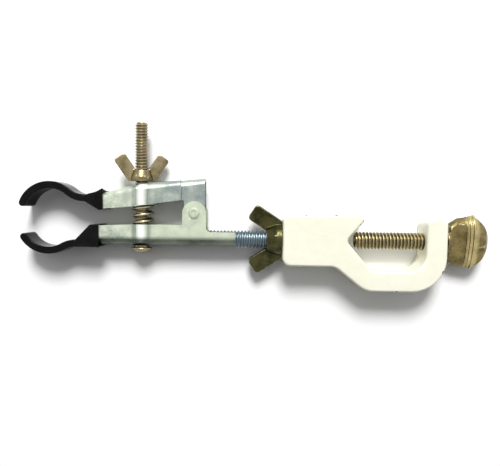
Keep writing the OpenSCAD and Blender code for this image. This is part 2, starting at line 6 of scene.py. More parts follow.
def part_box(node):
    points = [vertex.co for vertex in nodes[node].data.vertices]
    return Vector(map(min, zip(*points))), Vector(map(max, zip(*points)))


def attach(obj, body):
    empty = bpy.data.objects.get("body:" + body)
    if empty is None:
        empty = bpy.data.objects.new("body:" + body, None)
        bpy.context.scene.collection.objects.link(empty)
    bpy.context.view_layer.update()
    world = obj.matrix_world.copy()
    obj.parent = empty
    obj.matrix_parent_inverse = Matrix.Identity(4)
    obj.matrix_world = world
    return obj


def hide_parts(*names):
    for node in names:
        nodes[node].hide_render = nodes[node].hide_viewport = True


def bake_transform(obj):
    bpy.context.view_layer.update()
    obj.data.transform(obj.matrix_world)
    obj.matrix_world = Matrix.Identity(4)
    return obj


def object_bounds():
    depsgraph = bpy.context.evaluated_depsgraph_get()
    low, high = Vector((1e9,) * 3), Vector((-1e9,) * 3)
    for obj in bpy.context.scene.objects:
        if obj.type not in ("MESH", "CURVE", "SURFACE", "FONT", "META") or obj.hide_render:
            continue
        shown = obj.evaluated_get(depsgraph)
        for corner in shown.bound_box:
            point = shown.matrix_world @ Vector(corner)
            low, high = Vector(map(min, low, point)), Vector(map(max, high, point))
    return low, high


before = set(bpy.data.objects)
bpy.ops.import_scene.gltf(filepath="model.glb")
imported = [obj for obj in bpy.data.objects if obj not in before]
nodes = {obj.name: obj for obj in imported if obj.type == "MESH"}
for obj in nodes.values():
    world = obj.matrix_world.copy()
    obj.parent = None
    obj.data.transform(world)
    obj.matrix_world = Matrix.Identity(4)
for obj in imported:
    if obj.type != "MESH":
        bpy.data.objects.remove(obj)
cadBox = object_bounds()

mm = 0.001  # sizes below are written in millimetres
weldGap = 0.002  # vertices of a CAD node closer than this are one
clearance = 0.02  # how far a cut stays off the face beside it
bossLow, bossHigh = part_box("boss_body")
midZ = (bossLow.z + bossHigh.z) / 2
print("frame loaded:", len(nodes), "nodes")


def dropSelection():
    if bpy.context.mode != "OBJECT":
        bpy.ops.object.mode_set(mode="OBJECT")
    bpy.ops.object.select_all(action="DESELECT")


def pick(piece):
    dropSelection()
    piece.select_set(True)
    bpy.context.view_layer.objects.active = piece


def enterEdit(piece):
    pick(piece)
    bpy.ops.object.mode_set(mode="EDIT")
    bpy.ops.mesh.select_mode(type="VERT")
    bpy.ops.mesh.select_all(action="SELECT")


def leaveEdit():
    bpy.ops.object.mode_set(mode="OBJECT")


def selectWhere(piece, kind, test):
    # faces or edges chosen by their place, from inside edit mode
    bpy.ops.mesh.select_mode(type=kind)
    bpy.ops.mesh.select_all(action="DESELECT")
    leaveEdit()
    mesh = piece.data
    if kind == "FACE":
        for face in mesh.polygons:
            face.select = test(face.center, face.normal)
    else:
        for edge in mesh.edges:
            a, b = (mesh.vertices[i].co for i in edge.vertices)
            edge.select = test((a + b) / 2, (b - a).normalized())
    bpy.ops.object.mode_set(mode="EDIT")


def applyModifier(piece, kind, **values):
    pick(piece)
    modifier = piece.modifiers.new(kind.lower(), kind)
    for key, value in values.items():
        setattr(modifier, key, value)
    bpy.ops.object.modifier_apply(modifier=modifier.name)


def trim(piece, spot, normal):
    # cuts away what lies on the side that the normal points to, and closes the cut
    enterEdit(piece)
    bpy.ops.mesh.bisect(plane_co=spot, plane_no=normal, use_fill=True, clear_outer=True)
    leaveEdit()


def joinPieces(name, first, *others):
    dropSelection()
    for piece in (first, *others):
        piece.select_set(True)
    bpy.context.view_layer.objects.active = first
    bpy.ops.object.join()
    first.name = name
    return first


def place(piece, matrix):
    pick(piece)
    piece.matrix_world = matrix
    bpy.ops.object.transform_apply(location=True, rotation=True, scale=True)


def copyOfNode(nodeName, name):
    # a CAD node's loose triangles, copied and merged, as the start of a finished piece
    piece = bpy.data.objects.new(name, nodes[nodeName].data.copy())
    piece.data.materials.clear()
    bpy.context.scene.collection.objects.link(piece)
    pick(piece)
    bpy.ops.mesh.customdata_custom_splitnormals_clear()
    enterEdit(piece)
    bpy.ops.mesh.remove_doubles(threshold=weldGap * mm)
    leaveEdit()
    return piece


def soften(piece, voxel, passes, keep):
    # one skin over all that is joined, with the edges rounded as on a casting or a dipped sleeve
    applyModifier(piece, "REMESH", mode="VOXEL", voxel_size=voxel * mm, use_smooth_shade=True)
    applyModifier(piece, "SMOOTH", factor=0.5, iterations=passes)
    applyModifier(piece, "DECIMATE", ratio=keep)


def finishPiece(piece, body, slotName, material, *replaced, angle, flat=False):
    pick(piece)
    bpy.ops.object.shade_smooth_by_angle(angle=math.radians(angle))
    if flat:  # large flat faces keep their own normals beside their rounded edges
        applyModifier(piece, "WEIGHTED_NORMAL", mode="FACE_AREA", weight=100, keep_sharp=True)
    piece.data.materials.clear()
    piece.data.materials.append(material)
    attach(piece, body)
    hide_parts(*replaced)
    print(piece.name, "done:", len(piece.data.polygons), "faces")


# Shader groups that more than one finish uses
def newGroup(name, inputs, outputs):
    group = bpy.data.node_groups.new(name, "ShaderNodeTree")
    for label, kind, value in inputs:
        socket = group.interface.new_socket(label, in_out="INPUT", socket_type=kind)
        socket.default_value = value
    for label, kind in outputs:
        group.interface.new_socket(label, in_out="OUTPUT", socket_type=kind)
    return group, group.nodes.new("NodeGroupInput"), group.nodes.new("NodeGroupOutput")


def makeMottle():
    # slow clouds and fast specks in one 0 to 1 value
    group, source, sink = newGroup(
        "mottle",
        [("Cloud Scale", "NodeSocketFloat", 150.0), ("Speck Scale", "NodeSocketFloat", 1500.0),
         ("Speck Share", "NodeSocketFloat", 0.4),
         ("Low", "NodeSocketFloat", 0.35), ("High", "NodeSocketFloat", 0.65)],
        [("Value", "NodeSocketFloat")])
    links = group.links
    spot = group.nodes.new("ShaderNodeTexCoord")
    cloud = group.nodes.new("ShaderNodeTexNoise")
    cloud.inputs["Detail"].default_value = 4
    speck = group.nodes.new("ShaderNodeTexNoise")
    speck.inputs["Detail"].default_value = 3
    both = group.nodes.new("ShaderNodeMix")
    spread = group.nodes.new("ShaderNodeMapRange")
    links.new(spot.outputs["Object"], cloud.inputs["Vector"])
    links.new(spot.outputs["Object"], speck.inputs["Vector"])
    links.new(source.outputs["Cloud Scale"], cloud.inputs["Scale"])
    links.new(source.outputs["Speck Scale"], speck.inputs["Scale"])
    links.new(source.outputs["Speck Share"], both.inputs["Factor"])
    links.new(cloud.outputs["Fac"], both.inputs["A"])
    links.new(speck.outputs["Fac"], both.inputs["B"])
    links.new(both.outputs["Result"], spread.inputs["Value"])
    links.new(source.outputs["Low"], spread.inputs["From Min"])
    links.new(source.outputs["High"], spread.inputs["From Max"])
    links.new(spread.outputs["Result"], sink.inputs["Value"])
    return group


def makeEdgeWear():
    # ragged mask on sharp outer edges
    group, source, sink = newGroup(
        "edgeWear",
        [("Start", "NodeSocketFloat", 0.54), ("End", "NodeSocketFloat", 0.6),
         ("Rag Scale", "NodeSocketFloat", 900.0), ("Rag", "NodeSocketFloat", 0.1)],
        [("Mask", "NodeSocketFloat")])
    links = group.links
    shape = group.nodes.new("ShaderNodeNewGeometry")
    spot = group.nodes.new("ShaderNodeTexCoord")
    noise = group.nodes.new("ShaderNodeTexNoise")
    noise.inputs["Detail"].default_value = 4
    centred = group.nodes.new("ShaderNodeMath")
    centred.operation = "SUBTRACT"
    centred.inputs[1].default_value = 0.5
    ragged = group.nodes.new("ShaderNodeMath")
    ragged.operation = "MULTIPLY_ADD"
    mask = group.nodes.new("ShaderNodeMapRange")
    links.new(spot.outputs["Object"], noise.inputs["Vector"])
    links.new(source.outputs["Rag Scale"], noise.inputs["Scale"])
    links.new(noise.outputs["Fac"], centred.inputs[0])
    links.new(centred.outputs[0], ragged.inputs[0])
    links.new(source.outputs["Rag"], ragged.inputs[1])
    links.new(shape.outputs["Pointiness"], ragged.inputs[2])
    links.new(ragged.outputs[0], mask.inputs["Value"])
    links.new(source.outputs["Start"], mask.inputs["From Min"])
    links.new(source.outputs["End"], mask.inputs["From Max"])
    links.new(mask.outputs["Result"], sink.inputs["Mask"])
    return group


mottleGroup = makeMottle()
edgeWearGroup = makeEdgeWear()


class Nodes:
    # short calls for the nodes that the finishes and the sky use
    def __init__(self, tree):
        self.nodes = tree.nodes
        self.links = tree.links

    def axis(self, space, letter):
        apart = self.nodes.new("ShaderNodeSeparateXYZ")
        self.links.new(self.nodes.new("ShaderNodeTexCoord").outputs[space], apart.inputs["Vector"])
        return apart.outputs[letter]

    def ramp(self, value, start, end, low=0, high=1, course="LINEAR"):
        node = self.nodes.new("ShaderNodeMapRange")
        node.interpolation_type = course
        limits = {"From Min": start, "From Max": end, "To Min": low, "To Max": high}
        for label, limit in limits.items():
            node.inputs[label].default_value = limit
        self.links.new(value, node.inputs["Value"])
        return node.outputs["Result"]

    def span(self, value, low, high):
        return self.ramp(value, 0, 1, low, high)

    def calc(self, operation, first, second=0):
        node = self.nodes.new("ShaderNodeMath")
        node.operation = operation
        self.links.new(first, node.inputs[0])
        if isinstance(second, (int, float)):
            node.inputs[1].default_value = second
        else:
            self.links.new(second, node.inputs[1])
        return node.outputs[0]


class Finish(Nodes):
    # a material under construction
    def __init__(self, name):
        self.material = bpy.data.materials.new(name)
        self.material.use_nodes = True
        super().__init__(self.material.node_tree)
        self.shader = self.nodes["Principled BSDF"]

    def set(self, **values):
        for key, value in values.items():
            self.shader.inputs[key.replace("_", " ")].default_value = value

    def group(self, tree, **values):
        node = self.nodes.new("ShaderNodeGroup")
        node.node_tree = tree
        for key, value in values.items():
            node.inputs[key.replace("_", " ")].default_value = value
        return node.outputs[0]

    def blend(self, mask, first, second):
        node = self.nodes.new("ShaderNodeMix")
        node.data_type = "RGBA"
        self.links.new(mask, node.inputs["Factor"])
        for socket, colour in (("A", first), ("B", second)):
            target = [s for s in node.inputs if s.name == socket and s.type == "RGBA"][0]
            if isinstance(colour, tuple):
                target.default_value = (*colour, 1)
            else:
                self.links.new(colour, target)
        return [s for s in node.outputs if s.type == "RGBA"][0]

    def mask(self, value, none, full):
        # 0 at the first length and 1 at the second, both in millimetres
        return self.ramp(value, none * mm, full * mm)

    def bump(self, height, depth, strength):
        node = self.nodes.new("ShaderNodeBump")
        node.inputs["Distance"].default_value = depth * mm
        node.inputs["Strength"].default_value = strength
        self.links.new(height, node.inputs["Height"])
        self.links.new(node.outputs["Normal"], self.shader.inputs["Normal"])

    def feed(self, output, socket):
        self.links.new(output, self.shader.inputs[socket])


# In the looks below, rough is a range and relief is the depth and strength of the bump
def makeWhitePaint():
    look = {"cream": (0.90, 0.89, 0.74), "shade": (0.85, 0.84, 0.68), "rough": (0.34, 0.5), "relief": (0.12, 0.35),
            "chip": (0.10, 0.095, 0.08), "bare": (0.24, 0.30),  # colour and edge of a chip
            # places where the paint is knocked off: x, y, z and reach
            "chips": ((-2.2, 7.7, 10.9, 1.3), (-2.6, 9.3, 10.6, 1.2), (-3.4, 6.2, 10.9, 1.0),
                      (-23.1, 9.4, 10.6, 1.0), (-12.4, 9.4, 10.6, 1.1), (26.8, -10.9, 10.7, 1.2),
                      (28, -3.2, 10.6, 0.9), (-31.3, -7.5, 10.7, 0.9), (10, -18.3, 10.7, 0.9),
                      (24, 8.8, 0.5, 1.4), (-20, -9.4, 0.5, 1.4))}
    paint = Finish("whitePaint")
    cloud = paint.group(mottleGroup, Cloud_Scale=70.0, Speck_Scale=500.0, Speck_Share=0.3)
    skin = paint.group(mottleGroup, Cloud_Scale=260.0, Speck_Scale=1400.0, Speck_Share=0.25)
    rag = paint.group(mottleGroup, Cloud_Scale=900.0, Speck_Scale=2600.0, Speck_Share=0.3, Low=0.3, High=0.7)
    spot = paint.nodes.new("ShaderNodeTexCoord").outputs["Object"]
    nearest = None
    for x, y, z, reach in look["chips"]:
        far = paint.nodes.new("ShaderNodeVectorMath")
        far.operation = "DISTANCE"
        far.inputs[1].default_value = (x * mm, y * mm, z * mm)
        paint.links.new(spot, far.inputs[0])
        close = paint.mask(far.outputs["Value"], reach, 0)
        nearest = close if nearest is None else paint.calc("MAXIMUM", nearest, close)
    bare = paint.ramp(paint.calc("MULTIPLY", nearest, rag), *look["bare"])
    paint.feed(paint.blend(bare, paint.blend(cloud, look["shade"], look["cream"]), look["chip"]), "Base Color")
    paint.feed(paint.span(skin, *look["rough"]), "Roughness")
    paint.bump(paint.calc("SUBTRACT", skin, bare), *look["relief"])
    paint.set(Coat_Weight=0.12, Coat_Roughness=0.2)
    return paint.material


def makeBrassPlate(name, gold, dull, paintedHighlightSpan=None):
    look = {"worn": (0.55, 0.51, 0.36), "rough": (0.42, 0.26), "relief": (0.05, 0.3),
            "highlightGold": (0.60, 0.50, 0.25), "highlightShare": (0.45, 0.8), "highlightFade": 1.2}
    plate = Finish(name)
    cloud = plate.group(mottleGroup, Cloud_Scale=260.0, Speck_Scale=1500.0, Speck_Share=0.35, Low=0.4, High=0.6)
    wear = plate.group(edgeWearGroup, Start=0.52, End=0.58, Rag_Scale=1200.0, Rag=0.06)
    grain = plate.group(mottleGroup, Cloud_Scale=900.0, Speck_Scale=3500.0, Speck_Share=0.5)
    colour = plate.blend(wear, plate.blend(cloud, dull, gold), look["worn"])
    if paintedHighlightSpan:  # painted highlight: a band along X is drawn pale gold in place of the light that the ridges and the start of the dome catch
        along = plate.axis("Object", "X")
        band = plate.calc("MULTIPLY", plate.mask(along, paintedHighlightSpan[0] - look["highlightFade"], paintedHighlightSpan[0]),
                          plate.mask(along, paintedHighlightSpan[1] + look["highlightFade"], paintedHighlightSpan[1]))
        share = plate.calc("MULTIPLY", band, plate.span(cloud, *look["highlightShare"]))
        colour = plate.blend(share, colour, look["highlightGold"])
    plate.feed(colour, "Base Color")
    plate.feed(plate.span(cloud, *look["rough"]), "Roughness")
    plate.bump(grain, *look["relief"])
    plate.set(Metallic=1.0)
    return plate.material


def makeZincSheet(name, rearTint):
    look = {"pale": (0.65, 0.70, 0.56), "grey": (0.36, 0.42, 0.35), "rough": (0.26, 0.40), "relief": (0.05, 0.25),
            "rearX": (-93, -74), "rearShare": (0.45, 1),  # where the rear tint sets in and is full
            # painted shade: the back of the lower arm is drawn near black in place of the dark it reflects; where
            # that sets in and is full
            "dull": (0.03, 0.04, 0.028), "backShadeY": (0.9, -0.5), "backShadeShare": (0.75, 1),
            # painted highlight down the middle of the pressed bulge beside the screw, pale and more metallic, and
            # painted shade on its flanks, in place of the light and dark the round bulge reflects
            "bulgeMiddleX": -82.6, "bulgeHighlight": (2.2, 0.4), "bulgeHighlightColour": (0.98, 1.0, 0.94), "bulgeHighlightMetal": (0.62, 0.48),
            "flankShadeIn": (1.5, 2.6), "flankShadeOut": (3.9, 2.9), "bulgeFlankShade": (0.25, 0.29, 0.25)}
    sheet = Finish(name)
    cloud = sheet.group(mottleGroup, Cloud_Scale=280.0, Speck_Scale=1300.0, Speck_Share=0.35, Low=0.34, High=0.6)
    stain = sheet.group(mottleGroup, Cloud_Scale=90.0, Speck_Scale=420.0, Speck_Share=0.25)
    grain = sheet.group(mottleGroup, Cloud_Scale=500.0, Speck_Scale=2600.0, Speck_Share=0.5)
    along = sheet.axis("Object", "X")
    # distance from the bulge's middle, for its painted highlight and the painted shade on its flanks
    aside = sheet.calc("ABSOLUTE", sheet.calc("SUBTRACT", along, look["bulgeMiddleX"] * mm))
    bulgeHighlight = sheet.mask(aside, *look["bulgeHighlight"])
    bulgeFlankShade = sheet.calc("MULTIPLY", sheet.mask(aside, *look["flankShadeIn"]), sheet.mask(aside, *look["flankShadeOut"]))
    shade = sheet.span(stain, *look["rearShare"])
    rear = sheet.calc("MULTIPLY", sheet.mask(along, *look["rearX"]), shade)
    # painted shade along the back of the lower arm, patchy with the stain
    back = sheet.calc("MULTIPLY", sheet.mask(sheet.axis("Object", "Y"), *look["backShadeY"]),
                      sheet.span(stain, *look["backShadeShare"]))
    colour = sheet.blend(rear, sheet.blend(cloud, look["grey"], look["pale"]), rearTint)
    # painted shade on the bulge's flanks, then the painted highlight on its middle
    colour = sheet.blend(sheet.calc("MULTIPLY", bulgeFlankShade, shade), colour, look["bulgeFlankShade"])
    colour = sheet.blend(back, sheet.blend(bulgeHighlight, colour, look["bulgeHighlightColour"]), look["dull"])
    sheet.feed(colour, "Base Color")
    sheet.feed(sheet.span(cloud, *look["rough"]), "Roughness")
    sheet.feed(sheet.span(bulgeHighlight, *look["bulgeHighlightMetal"]), "Metallic")
    sheet.bump(grain, *look["relief"])
    return sheet.material


def makeZincRod():
    look = {"blue": (0.14, 0.19, 0.215), "pale": (0.21, 0.26, 0.28), "worn": (0.42, 0.49, 0.52),
            "rough": (0.52, 0.38)}
    rod = Finish("zincRod")
    cloud = rod.group(mottleGroup, Cloud_Scale=200.0, Speck_Scale=1600.0, Speck_Share=0.4)
    wear = rod.group(edgeWearGroup, Start=0.56, End=0.66, Rag_Scale=1200.0, Rag=0.08)
    rod.feed(rod.blend(wear, rod.blend(cloud, look["blue"], look["pale"]), look["worn"]), "Base Color")
    rod.feed(rod.span(cloud, *look["rough"]), "Roughness")
    rod.set(Metallic=1.0)
    return rod.material


def makeBlackVinyl():
    look = {"black": (0.002, 0.002, 0.002), "scuffed": (0.009, 0.009, 0.008),
            "rough": (0.16, 0.28), "relief": (0.15, 0.3)}
    vinyl = Finish("blackVinyl")
    cloud = vinyl.group(mottleGroup, Cloud_Scale=180.0, Speck_Scale=1200.0, Speck_Share=0.3, Low=0.45, High=0.75)
    skin = vinyl.group(mottleGroup, Cloud_Scale=160.0, Speck_Scale=900.0, Speck_Share=0.15)
    vinyl.feed(vinyl.blend(cloud, look["black"], look["scuffed"]), "Base Color")
    vinyl.feed(vinyl.span(cloud, *look["rough"]), "Roughness")
    vinyl.bump(skin, *look["relief"])
    vinyl.set(Specular_IOR_Level=0.07, Coat_Weight=0.05, Coat_Roughness=0.1)
    return vinyl.material


whitePaint = makeWhitePaint()
brassPlate = makeBrassPlate("brassPlate", (0.32, 0.265, 0.155), (0.13, 0.105, 0.05))
# painted shade: a much darker copy of the brass plate, in place of the dark reflections on the lock nut
brassPaintedShade = makeBrassPlate("brassPaintedShade", (0.075, 0.07, 0.028), (0.026, 0.026, 0.010))
brassSpring = makeBrassPlate("brassSpring", (0.26, 0.20, 0.09), (0.095, 0.07, 0.027))
# the last span is a painted highlight across the ridges of the thumb head
brassGold = makeBrassPlate("brassGold", (0.25, 0.195, 0.080), (0.12, 0.092, 0.035),
                           (bossHigh.x / mm + 8.5, bossHigh.x / mm + 11.4))
zincPale = makeZincSheet("zincPale", (0.57, 0.63, 0.48))
zincBlue = makeZincSheet("zincBlue", (0.20, 0.24, 0.25))
zincRod = makeZincRod()
blackVinyl = makeBlackVinyl()
print("finishes made")


# Threads: a vertex walked round one tooth, screwed along the axis and cut square at both ends
def cutThread(name, thread):
    root = thread["radius"] - thread["depth"]
    pitch, depth, length = thread["pitch"], thread["depth"], thread["length"]
    tooth = ((0, 0.10), (depth, 0.31), (0, 0.18), (-depth, 0.31), (0, 0.10))  # step out, share of the pitch
    dropSelection()
    bpy.ops.mesh.primitive_plane_add(size=mm)
    piece = bpy.context.active_object
    enterEdit(piece)
    bpy.ops.mesh.merge(type="CENTER")
    bpy.ops.transform.translate(value=(root * mm, 0, -pitch * mm))
    for out, rise in tooth:
        bpy.ops.mesh.extrude_vertices_move(TRANSFORM_OT_translate={"value": (out * mm, 0, rise * pitch * mm)})
    leaveEdit()
    spare = 3  # turns beyond both ends, cut off below
    applyModifier(piece, "SCREW", screw_offset=pitch * mm, iterations=int(length / pitch) + spare,
                  steps=thread["steps"], render_steps=thread["steps"],
                  use_merge_vertices=True, merge_threshold=0.001 * mm)
    enterEdit(piece)
    bpy.ops.mesh.normals_make_consistent(inside=False)
    leaveEdit()
    trim(piece, (0, 0, 0), (0, 0, -1))
    trim(piece, (0, 0, length * mm), (0, 0, 1))
    for vertex in piece.data.vertices:  # the chamfered tip
        limit = (thread["tip"] + length) * mm - vertex.co.z
        reach = math.hypot(vertex.co.x, vertex.co.y)
        if reach > limit:
            vertex.co.x *= limit / reach
            vertex.co.y *= limit / reach
    piece.name = name
    return piece


# Wing nuts: a turned hub with two plates, softened into one casting
def castWingNut(name, nut):
    dropSelection()
    bpy.ops.mesh.primitive_cylinder_add(vertices=48, radius=nut["hubRadius"] * mm, depth=nut["band"] * mm,
                                        location=(0, 0, nut["band"] / 2 * mm))
    hub = bpy.context.active_object
    bpy.ops.object.transform_apply(location=True)
    enterEdit(hub)
    selectWhere(hub, "FACE", lambda centre, normal: normal.z > 0.9)
    bpy.ops.mesh.extrude_region_move(TRANSFORM_OT_translate={"value": (0, 0, (nut["height"] - nut["band"]) * mm)})
    bpy.ops.transform.resize(value=(nut["taper"], nut["taper"], 1))
    leaveEdit()
    lean = math.radians(nut["lean"])
    long = (nut["span"] / 2 - nut["root"] - nut["wingWide"] * math.cos(lean)) / math.sin(lean)
    wings = []
    for side in (1, -1):
        bpy.ops.mesh.primitive_cube_add(size=1)
        wing = bpy.context.active_object
        place(wing, Matrix.Diagonal((nut["wingWide"] * mm, nut["wingThick"] * mm, long * mm, 1)))
        enterEdit(wing)
        selectWhere(wing, "EDGE", lambda centre, along: abs(along.y) > 0.9 and centre.z > 0)
        bpy.ops.mesh.bevel(offset=nut["corner"] * mm, segments=5)
        leaveEdit()
        acrossX = nut["root"] + nut["wingWide"] / 2 * math.cos(lean) + long / 2 * math.sin(lean)
        acrossZ = nut["seat"] - nut["wingWide"] / 2 * math.sin(lean) + long / 2 * math.cos(lean)
        place(wing, Matrix.Translation((side * acrossX * mm, 0, acrossZ * mm)) @ Matrix.Rotation(side * lean, 4, "Y"))
        trim(wing, (0, 0, clearance * mm), (0, 0, -1))
        wings.append(wing)
    piece = joinPieces(name, hub, *wings)
    soften(piece, nut["voxel"], nut["passes"], nut["keep"])
    return piece


def makeBoss():
    piece = copyOfNode("boss_body", "bossCasting")
    finishPiece(piece, "boss", "white_paint", whitePaint, "boss_body", angle=40, flat=True)


def makeThumbScrew():
    screw = {"radius": 3.175, "depth": 0.62, "pitch": 1.27, "tip": 2.5, "steps": 40,
             "collar": bossHigh.x / mm + 0.6, "overlap": 0.4,  # the thread ends inside the head
             "crown": 10, "thin": 0.6, "thinFrom": 1.5, "thinFade": 3,
             "domeFrom": 10.6, "domeLong": 5.6, "domeRound": 2.2, "domeThin": 0.6,
             "voxel": 0.12, "passes": 1, "keep": 0.35}
    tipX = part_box("thumb_screw")[0].x
    screw["length"] = screw["collar"] + screw["overlap"] - tipX / mm
    thread = cutThread("thumbThread", screw)
    place(thread, Matrix.Translation(((screw["collar"] + screw["overlap"]) * mm, 0, midZ))
          @ Matrix.Rotation(-math.pi / 2, 4, "Y"))
    head = copyOfNode("thumb_screw", "thumbHead")
    trim(head, (screw["collar"] * mm + clearance * mm, 0, 0), (-1, 0, 0))
    soften(head, screw["voxel"], screw["passes"], screw["keep"])
    for vertex in head.data.vertices:  # both faces are crowned and thin out to the rim and the domed end
        across = min(1, abs(vertex.co.y) / (screw["crown"] * mm))
        past = min(1, max(0, (vertex.co.x / mm - screw["collar"] - screw["thinFrom"]) / screw["thinFade"]))
        vertex.co.z = midZ + (vertex.co.z - midZ) * (1 - past * screw["thin"] * across ** 2)
        beyond = max(0, (vertex.co.x / mm - screw["collar"] - screw["domeFrom"]) / screw["domeLong"])
        vertex.co.x -= beyond * screw["domeRound"] * mm * across ** 2
        vertex.co.z = midZ + (vertex.co.z - midZ) * (1 - screw["domeThin"] * min(1, beyond) ** 2)
    piece = joinPieces("thumbScrew", head, thread)
    finishPiece(piece, "thumb_screw", "brass_plate", brassGold, "thumb_screw", angle=42)


def makeStemRod():
    low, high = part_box("stem_rod")
    rod = {"radius": 3.175, "depth": 0.62, "pitch": 1.27, "tip": 2.5, "steps": 40, "length": (high.x - low.x) / mm,
           "crimpY": 1.3, "crimp": 3.8}
    piece = cutThread("stemRod", rod)
    place(piece, Matrix.Translation((low.x, 0, midZ)) @ Matrix.Rotation(math.pi / 2, 4, "Y"))
    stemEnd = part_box("lower_arm")[1].x
    middle = Vector((0, rod["crimpY"] * mm, midZ))
    for vertex in piece.data.vertices:  # squeezed where the stem of the arm folds under it
        reach = (vertex.co - middle).yz.length
        if vertex.co.x < stemEnd and vertex.co.y < middle.y and reach > rod["crimp"] * mm:
            vertex.co.yz = middle.yz + (vertex.co - middle).yz * rod["crimp"] * mm / reach
    finishPiece(piece, "clamp", "zinc_rod", zincRod, "stem_rod", angle=42)


def makeJawScrew():
    low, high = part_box("jaw_screw")
    screw = {"radius": 2.38, "depth": 0.5, "pitch": 1.058, "tip": 1.75, "steps": 36,
             "headRadius": 4, "headHigh": 2, "rim": 0.3, "neck": 1, "neckRadius": 2.75}
    centreX = (low.x + high.x) / 2
    start = low.y / mm + screw["headHigh"]
    screw["length"] = high.y / mm - start
    thread = cutThread("jawThread", screw)
    turnUp = Matrix.Rotation(-math.pi / 2, 4, "X")
    place(thread, Matrix.Translation((centreX, start * mm, midZ)) @ turnUp)
    dome = (screw["headRadius"] ** 2 + screw["headHigh"] ** 2) / 2 / screw["headHigh"]
    dropSelection()
    bpy.ops.mesh.primitive_uv_sphere_add(segments=64, ring_count=48, radius=dome * mm)
    head = bpy.context.active_object
    trim(head, (0, 0, (screw["headHigh"] - dome) * mm), (0, 0, 1))
    enterEdit(head)
    selectWhere(head, "FACE", lambda centre, normal: normal.z > 0.95)
    bpy.ops.mesh.bevel(offset=screw["rim"] * mm, segments=3)
    selectWhere(head, "FACE", lambda centre, normal: normal.z > 0.95)
    bpy.ops.mesh.inset(thickness=(screw["headRadius"] - screw["neckRadius"] - screw["rim"]) * mm)
    bpy.ops.mesh.extrude_region_move(TRANSFORM_OT_translate={"value": (0, 0, screw["neck"] * mm)})
    leaveEdit()
    place(head, Matrix.Translation((centreX, (start - screw["headHigh"] + dome) * mm, midZ)) @ turnUp)
    piece = joinPieces("jawScrew", thread, head)
    finishPiece(piece, "clamp", "brass_plate", brassPlate, "jaw_screw", angle=42)


def makeLockNut():
    nut = {"hubRadius": 5.8, "height": 5.6, "band": 2.0, "taper": 0.8, "span": 26, "root": 0.65, "seat": 1.68,
           "wingWide": 6.2, "wingThick": 2.6, "lean": 33, "corner": 1.3, "turn": 96,
           "voxel": 0.17, "passes": 6, "keep": 0.3}
    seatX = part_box("lock_wing_nut")[1].x
    piece = castWingNut("lockWingNut", nut)
    place(piece, Matrix.Translation((seatX, 0, midZ)) @ Matrix.Rotation(math.radians(nut["turn"]), 4, "X")
          @ Matrix.Rotation(-math.pi / 2, 4, "Y"))
    # the lock nut gets the darker copy of the brass, painted shade for its dark reflections
    finishPiece(piece, "lock_nut", "brass_plate", brassPaintedShade, "lock_wing_nut", angle=60)


def makeJawNut():
    nut = {"hubRadius": 4, "height": 4, "band": 1.4, "taper": 0.8, "span": 20, "root": 0.18, "seat": 1.2,
           "wingWide": 4.6, "wingThick": 2.2, "lean": 34, "corner": 1.0, "turn": 14,
           "voxel": 0.14, "passes": 6, "keep": 0.3}
    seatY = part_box("jaw_wing_nut")[0].y
    screwLow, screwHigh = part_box("jaw_screw")
    piece = castWingNut("jawWingNut", nut)
    place(piece, Matrix.Translation(((screwLow.x + screwHigh.x) / 2, seatY, midZ))
          @ Matrix.Rotation(math.radians(nut["turn"]), 4, "Y") @ Matrix.Rotation(-math.pi / 2, 4, "X"))
    finishPiece(piece, "jaw_nut", "brass_plate", brassPlate, "jaw_wing_nut", angle=60)


def makeSpring():
    spring = {"wire": 0.5, "turns": 7, "steps": 28}
    low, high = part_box("jaw_spring")
    radius = (high.x - low.x) / 2 - spring["wire"] * mm
    rise = high.y - low.y - 2 * spring["wire"] * mm
    dropSelection()
    bpy.ops.mesh.primitive_plane_add(size=mm)
    piece = bpy.context.active_object
    enterEdit(piece)
    bpy.ops.mesh.merge(type="CENTER")
    bpy.ops.transform.translate(value=(radius, 0, 0))
    leaveEdit()
    applyModifier(piece, "SCREW", screw_offset=rise / spring["turns"], iterations=spring["turns"],
                  steps=spring["steps"], render_steps=spring["steps"])
    pick(piece)
    bpy.ops.object.convert(target="CURVE")
    piece.data.bevel_depth = spring["wire"] * mm
    piece.data.bevel_resolution = 4
    piece.data.use_fill_caps = True
    bpy.ops.object.convert(target="MESH")
    piece = bpy.context.active_object
    piece.name = "jawSpring"
    centre = Vector(((low.x + high.x) / 2, low.y + spring["wire"] * mm, midZ))
    place(piece, Matrix.Translation(centre) @ Matrix.Rotation(-math.pi / 2, 4, "X"))
    enterEdit(piece)
    bpy.ops.mesh.normals_make_consistent(inside=False)
    leaveEdit()
    bpy.ops.object.shade_smooth()
    piece.data.materials.clear()
    piece.data.materials.append(brassSpring)
    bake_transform(piece)
    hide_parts("jaw_spring")
    print(piece.name, "done:", len(piece.data.polygons), "faces")


def makeSleeve(nodeName, name, body, sleeve):
    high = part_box(nodeName)[1]
    piece = copyOfNode(nodeName, name)
    soften(piece, sleeve["voxel"], sleeve["passes"], sleeve["keep"])
    for vertex in piece.data.vertices:  # the open end lifts off the back of the arm, on the near side
        near = (vertex.co.x - high.x) / (sleeve["flapLong"] * mm) + 1
        out = (vertex.co.y - sleeve["flapFrom"] * mm) * sleeve["side"]
        front = (vertex.co.z - midZ) / (high.z - midZ)
        if near > 0 and out > 0 and front > 0:
            share = near ** 2 * min(1, out / (sleeve["flapFade"] * mm)) * front
            vertex.co.y += sleeve["side"] * sleeve["flapLift"] * mm * share
    if "crease" in sleeve:
        raiseCrease(piece, sleeve["crease"], high.z)
    finishPiece(piece, body, "black_vinyl", blackVinyl, nodeName, angle=50)


